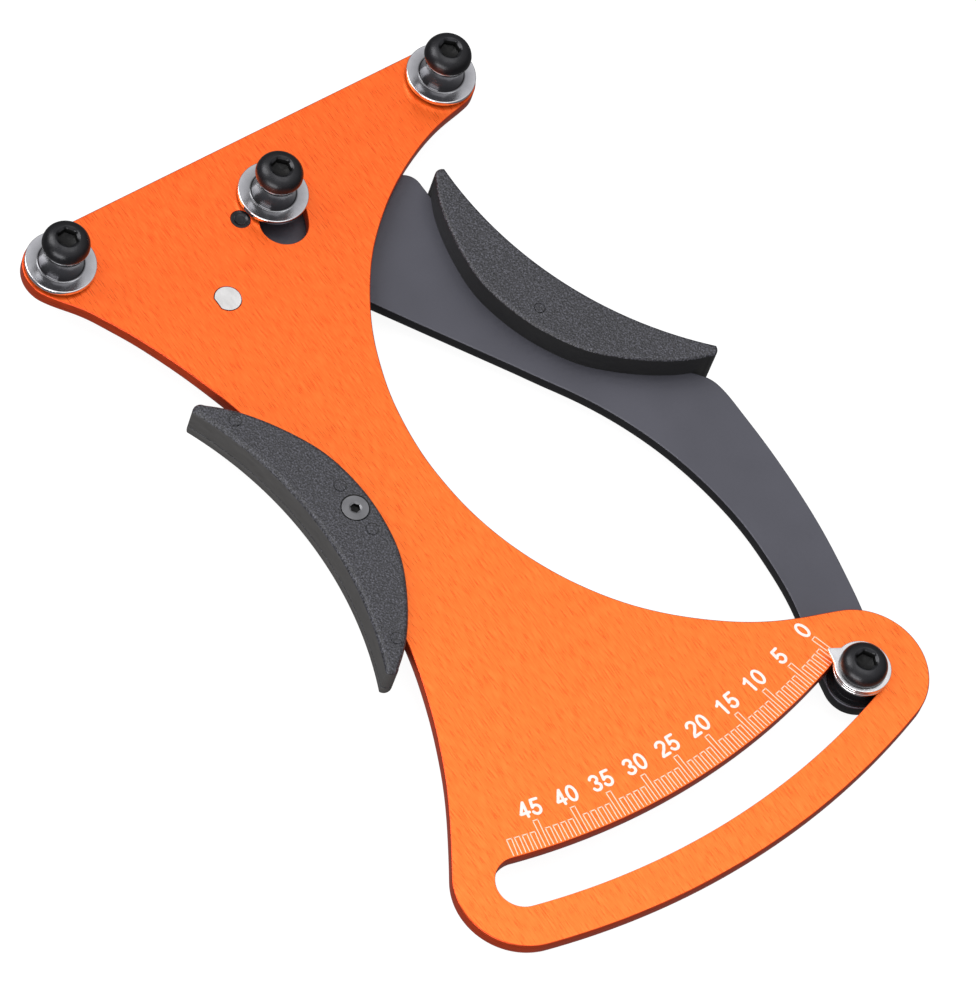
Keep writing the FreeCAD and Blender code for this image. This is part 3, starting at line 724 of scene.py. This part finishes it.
cut_plate = plain_slab(PLATE, -PLATE_T - 0.02, 0.0)
grip("frame_grip", GF_C, 0, 3.2, -PLATE_T, -6.8, cut_plate, True, "frame", ("frame_grip_front", "frame_grip_rear"))
bpy.data.objects.remove(cut_plate)
cut_lever = plain_slab(LEVER, LEV_Z0 - 0.02, LEV_Z1)
grip("lever_grip", GL_C, GL_ROT, 2.8, LEV_Z0, -10.2, cut_lever, False, "lever", ("lever_grip_front", "lever_grip_rear"))
bpy.data.objects.remove(cut_lever)


def inside(ob, c, r, z0, z1):
    """give the faces within a socket the second material, painted shade that darkens the recess"""
    o, lo, hi = P(c[0], c[1], 0), P(0, 0, z0)[2], P(0, 0, z1)[2]
    for f in ob.data.polygons:
        m = f.center
        if math.hypot(m[0] - o[0], m[1] - o[1]) < r / 1000 and lo < m[2] < hi:
            f.material_index = 1


def csk_screw(name, c, top, end, s, rot, body, node):
    """countersunk head, flush at top; s=+1 when it faces +Z"""
    z = lambda d: top - s * d
    rows = [(rcircle(c, 1.5, rot), end), (rcircle(c, 1.5, rot), z(1.65)), (rcircle(c, 2.95, rot), z(0.2)), (rcircle(c, 2.95, rot), z(0.06)), (rcircle(c, 2.88, rot), z(0)),
            (rcircle(c, 1.42, rot), z(0)), (rcircle(c, 1.30, rot), z(0.06)), (hexring(c, 2.0, rot), z(0.18)), (hexring(c, 2.0, rot), z(1.15))]
    ob = stack(name, rows, [SATIN, SOCKET_SHADE], (c, end), (c, z(1.35)))
    inside(ob, c, 1.2, *sorted((z(0.18), z(1.36))))
    give(ob, body, "screw_black", node)


csk_screw("frame_grip_screw_body", (-21.0, -72.2), 3.2, -PLATE_T - 2.6, 1, 10, "frame", "frame_grip_screw")
csk_screw("lever_grip_screw_body", gl_screw, -10.2, LEV_Z1 + 3.2, -1, 10, "lever", "lever_grip_screw")

# ------------------------------------------------------------------ posts and pointer set

HEAD_R, HEAD_H = 5.25, 3.3


def dome(z0):
    """radius and height pairs of a button head from its seat to the socket's rim"""
    out = [(HEAD_R - 0.15, z0), (HEAD_R - 0.04, z0 + 0.06), (HEAD_R, z0 + 0.2), (HEAD_R, z0 + 0.62), (HEAD_R - 0.015, z0 + 0.74)]
    for k in range(1, 17):
        t = k / 16
        a, b, c = (HEAD_R - 0.02, z0 + 0.76), (4.95, z0 + 2.75), (2.85, z0 + HEAD_H - 0.02)
        out.append(tuple((1 - t) ** 2 * a[i] + 2 * t * (1 - t) * b[i] + t * t * c[i] for i in (0, 1)))
    return out


def button(name, c, z0, end, rot, body, slot_name, node, mat=None, tip=0.5):
    rows = [(2.45, end), (2.95, end + tip), (2.95, z0 - 0.02), (2.98, z0)] + dome(z0)
    rows = [(rcircle(c, r, rot), z) for r, z in rows]
    t = z0 + HEAD_H
    rows += [(rcircle(c, 2.74, rot), t), (rcircle(c, 2.66, rot), t - 0.03), (hexring(c, 4.06, rot), t - 0.42), (hexring(c, 4.0, rot), t - 0.5), (hexring(c, 4.0, rot), t - 2.0),
             (rcircle(c, 1.9, rot), t - 2.1)]
    ob = stack(name, rows, [mat or BLACK, SOCKET_SHADE], (c, end), (c, t - 2.55))
    inside(ob, c, 2.5, t - 2.6, t - 0.42)
    give(ob, body, slot_name, node)


def spool_prof(seat, boss):
    pr = [(3.1, seat + 0.1), (3.2, seat), (boss - 0.15, seat), (boss, seat + 0.15), (boss, 0.78), (boss + 0.05, 0.8), (7.55, 0.8), (7.68, 0.83), (7.77, 0.92), (7.8, 1.03), (7.8, 1.80),
          (7.77, 1.90), (7.70, 1.97), (7.60, 2.0), (5.45, 2.0), (5.2, 2.03), (5.05, 2.12), (4.96, 2.28), (4.93, 2.5)]
    for k in range(1, 21):
        t = k / 20
        pr.append((4.93 - 0.48 * 4 * t * (1 - t) * (1 - 0.12 * (1 - 2 * t)), 2.5 + 5.65 * t))
    return pr + [(4.90, 8.22), (4.82, 8.3), (3.2, 8.3), (3.1, 8.2)]


for side, c, rot, seat, boss, end, body in (("left", LP, 8, 0.0, 5.6, -PLATE_T - 3.2, "frame"), ("right", RP, 22, 0.0, 5.6, -PLATE_T - 3.2, "frame"), ("middle", MP, 15, LEV_Z1, 4.7, LEV_Z0 - 1.6, "lever")):
    give(lathe(side + "_spool", c, spool_prof(seat, boss), STEEL[side], closed=True), body, "post_steel", side + "_post_spool")
    give(lathe(side + "_ring", c, [(3.0, 8.3), (4.85, 8.3), (4.97, 8.36), (5.0, 8.45), (5.0, 8.68), (4.96, 8.76), (4.88, 8.8), (3.0, 8.8)], ZINC, closed=True), body, "post_steel", side + "_post_ring")
    button(side + "_screw", c, 8.8, end, rot, body, "screw_black", side + "_post_screw")

give(lathe("pointer_bush_body", PT, [(3.1, LEV_Z1), (6.4, LEV_Z1), (6.5, LEV_Z1 + 0.1), (6.5, LEV_Z1 + 0.2), (6.4, LEV_Z1 + 0.3), (5.25, LEV_Z1 + 0.3), (5.2, LEV_Z1 + 0.35), (5.2, 0.37), (5.12, 0.45), (3.1, 0.45)], BLACK, closed=True), "lever", "screw_black", "pointer_spacer")
bm = bmesh.new()
for z in (0.45, 1.2):
    loft(bm, circle(PT, 6.15, 96), [circle(PT, 3.1, 72)], wall(z, z + 0.7, 0.2, 0.2, 3))
give(finish_mesh(bm, "pointer_washer_pair", STEEL["pointer"]), "lever", "zinc_steel", "pointer_washers")
tip = (PT[0] - 4.02, PT[1] + 7.37)
TIP_OUT = join(arc_pts(PT, 6.2, 143 - 360, 103, 0.3), [(tip[0] + 0.12, tip[1] - 0.02), (tip[0] - 0.1, tip[1] - 0.08)])
bm = bmesh.new()
loft(bm, TIP_OUT, [circle(PT, 3.1, 72)], wall(1.95, 2.65, 0.1, 0.14, 3))
give(finish_mesh(bm, "pointer_plate_body", STEEL["pointer"]), "lever", "post_steel", "pointer_plate")
button("pointer_screw_body", PT, 2.65, LEV_Z0 - 3.2, 5, "lever", "screw_black", "pointer_screw")

# ------------------------------------------------------------------ pivot, spring post, spring

give(lathe("pivot_pin_body", (0, 0), [(0, -9.4), (4.3, -9.4), (4.6, -9.33), (4.85, -9.12), (5.0, -8.7), (5.0, -7.05), (4.95, -7.0), (3.4, -7.0), (3.4, -3.2), (2.2, -3.2), (2.2, -0.12), (2.15, -0.03),
                                      (2.05, 0.0), (1.62, 0.0), (1.52, -0.06), (1.2, -0.28), (1.05, -0.3), (0, -0.3)], BLACK), "frame", "screw_black", "pivot_pin")

LEG_A, LEG_L, COIL_R, WIRE_R = -25.9, 30.0, 7.0, 0.8
LEG_Z = -5.1
TANG_Z = LEG_Z - 1.9 * 2.0
a_tan = LEG_A + math.degrees(math.acos(COIL_R / LEG_L))
path = []
s0 = pol(3.2, a_tan + 180, SPRING_POST)
s1 = pol(COIL_R - 1.6, a_tan, SPRING_POST)
for k in range(9):
    t = k / 8
    path.append((s0[0] + (s1[0] - s0[0]) * t, s0[1] + (s1[1] - s0[1]) * t, TANG_Z))
for k in range(1, 9):
    t = k / 8 * PI / 2
    r = COIL_R - 1.6 + 1.6 * math.sin(t)
    path.append((*pol(r, a_tan - math.degrees(1.6 * (1 - math.cos(t)) / COIL_R), SPRING_POST), TANG_Z))
a_from = a_tan - math.degrees(1.6 / COIL_R)
total = 720 - math.degrees(1.6 / COIL_R)
N = 200
for k in range(1, N + 1):
    t = k / N
    path.append((*pol(COIL_R, a_from - total * t, SPRING_POST), TANG_Z + (LEG_Z - TANG_Z) * t))
st, en = pol(COIL_R, a_tan, SPRING_POST), pol(LEG_L, LEG_A, SPRING_POST)
for k in range(1, 41):
    t = k / 40
    path.append((st[0] + (en[0] - st[0]) * t, st[1] + (en[1] - st[1]) * t, LEG_Z))
pa = np.array(path)
tg = np.gradient(pa, axis=0)
tg /= np.linalg.norm(tg, axis=1)[:, None]
zz = np.array([0, 0, 1.0])
bm = bmesh.new()
rows = []
for p, t in zip(pa, tg):
    u = np.cross(zz, t); u /= np.linalg.norm(u)
    w = np.cross(t, u)
    rows.append([bm.verts.new(P(*(p + WIRE_R * (math.cos(2 * PI * k / 20) * u + math.sin(2 * PI * k / 20) * w)))) for k in range(20)])
for a, b in zip(rows, rows[1:]):
    band(bm, a, b)
for row, p, t, s in ((rows[0], pa[0], tg[0], -1), (rows[-1], pa[-1], tg[-1], 1)):
    u = np.cross(zz, t); u /= np.linalg.norm(u)
    w = np.cross(t, u)
    last = row
    for j in range(1, 5):
        q = j / 5 * PI / 2
        nxt = [bm.verts.new(P(*(p + s * t * WIRE_R * math.sin(q) + WIRE_R * math.cos(q) * (math.cos(2 * PI * k / 20) * u + math.sin(2 * PI * k / 20) * w)))) for k in range(20)]
        band(bm, last, nxt)
        last = nxt
    o = bm.verts.new(P(*(p + s * t * WIRE_R)))
    for k in range(20):
        bm.faces.new((last[k], last[(k + 1) % 20], o))
spring = finish_mesh(bm, "return_spring_wire", WIRE, 60)
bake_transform(spring)
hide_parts("return_spring_coil", "return_spring_leg")


# ------------------------------------------------------------------ nuts and washers behind


def nut(name, c, z0, z1, rot, body, node, mat, slot_name):
    af, n = 10.0, 96
    hx = hexring(c, af, rot, n)
    rr = np.hypot(*(hx - np.array(c)).T)
    rows = [(rcircle(c, 3.0, rot, n), z1), (rcircle(c, 4.9, rot, n), z1), (hx, z1 - 0.05), (hx, z0 + 0.75)]
    mid = np.array([pol(min(r, 5.35), 360 * k / n + rot, c) for k, r in enumerate(rr)])
    rows = [(rcircle(c, 3.0, rot, n), z1), (rcircle(c, 4.95, rot, n), z1), (hx, z1 - 0.02), (hx, z0 + 0.62), (mid, z0 + 0.28), (rcircle(c, 4.85, rot, n), z0),
            (rcircle(c, 3.25, rot, n), z0), (rcircle(c, 3.0, rot, n), z0 + 0.3)]
    bm = bmesh.new()
    vs = [ring_verts(bm, q, z) for q, z in rows]
    for a, b in zip(vs, vs[1:] + vs[:1]):
        band(bm, a, b)
    give(finish_mesh(bm, name, mat, 25), body, slot_name, node)


nut("left_nut", LP, -PLATE_T - 3.2, -PLATE_T, 8, "frame", "left_post_nut", ZINC, "zinc_steel")
nut("right_nut", RP, -PLATE_T - 3.2, -PLATE_T, 22, "frame", "right_post_nut", ZINC, "zinc_steel")

keep = {"middle_post_nut": ZINC, "pointer_nut": BLACK, "pivot_front_shim": ZINC, "pivot_rear_shim": ZINC,
        "pivot_bush": BRONZE, "frame_grip_insert": BRONZE, "lever_grip_insert": BRONZE, "spring_post": PIN_STEEL}
for n, m in keep.items():
    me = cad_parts[n].data
    me.materials.clear()
    me.materials.append(m)

# ------------------------------------------------------------------ floor, light, camera


def area(name, loc, target, size, power, color=(1, 1, 1)):
    l = bpy.data.lights.new(name, "AREA")
    l.shape, l.size, l.size_y, l.energy, l.color = "RECTANGLE", size[0], size[1], power, color
    o = bpy.data.objects.new(name, l)
    o.location = loc
    o.rotation_euler = (Vector(target) - Vector(loc)).to_track_quat("-Z", "Y").to_euler()
    bpy.context.scene.collection.objects.link(o)


fm = material("floor_pale", (0.12, 0.12, 0.12), 0.9)
ln(fm, ramp(fm, noise(fm, coords(fm, (3, 3, 3)), 1.0, 2.0), [(0.3, (0.11, 0.11, 0.11)), (0.7, (0.13, 0.13, 0.13))]), shader(fm).inputs["Base Color"])
shader(fm).inputs["Emission Color"].default_value = (1, 1, 1, 1)
shader(fm).inputs["Emission Strength"].default_value = 0.93
bm = bmesh.new()
bmesh.ops.create_grid(bm, x_segments=2, y_segments=2, size=4)
me = bpy.data.meshes.new("floor")
bm.to_mesh(me)
bm.free()
floor = bpy.data.objects.new("floor", me)
floor.location = (0, 0, -0.0003)
floor.visible_diffuse = floor.visible_glossy = False
me.materials.append(fm)
bpy.context.scene.collection.objects.link(floor)

# a studio that is dark low down and bright overhead, with a paler left side
world = bpy.data.worlds.new("studio")
world.use_nodes = True
wt = world.node_tree
tc = wt.nodes.new("ShaderNodeTexCoord")
sx = wt.nodes.new("ShaderNodeSeparateXYZ")
wt.links.new(tc.outputs["Generated"], sx.inputs[0])
zr = wt.nodes.new("ShaderNodeMapRange")
zr.inputs["From Min"].default_value = -1
wt.links.new(sx.outputs["Z"], zr.inputs["Value"])
cr = wt.nodes.new("ShaderNodeValToRGB")
el = cr.color_ramp.elements
for _ in range(4):
    el.new(0.5)
for e, (p0, g) in zip(el, ((0.0, 0.16), (0.47, 0.14), (0.55, 0.18), (0.68, 0.42), (0.82, 0.80), (1.0, 1.0))):
    e.position = p0
    e.color = (g, g, g * 1.02, 1)
wt.links.new(zr.outputs["Result"], cr.inputs["Fac"])
wt.links.new(cr.outputs["Color"], wt.nodes["Background"].inputs["Color"])
wt.nodes["Background"].inputs["Strength"].default_value = 1.0
bpy.context.scene.world = world
area("key", (-0.55, 0.95, 1.05), (0, 0, 0), (0.8, 0.8), 12)
area("top", (0.15, -0.1, 1.5), (0, 0, 0), (1.0, 1.0), 6)
area("side", (-1.3, -0.55, 0.35), (0, 0, 0), (1.2, 0.7), 18)

cam = bpy.data.cameras.new("camera")
cam.lens, cam.sensor_width = 252.0, 36.0
cam.clip_end = 20
co = bpy.data.objects.new("camera", cam)
r0 = Vector((0.79441056, -0.57303529, 0.20135149))
r1 = Vector((-0.42163167, -0.75889958, -0.49628435))
r2 = Vector((0.43719401, 0.30935736, -0.84448766))
mw = Matrix.Identity(4)
for i in range(3):
    mw[i][0], mw[i][1], mw[i][2] = r0[i], -r1[i], -r2[i]
mw.translation = Vector(P(-641.80, -542.39, 1252.81))
co.matrix_world = mw
bpy.context.scene.collection.objects.link(co)
bpy.context.scene.camera = co
bpy.context.scene.view_settings.view_transform = "Standard"
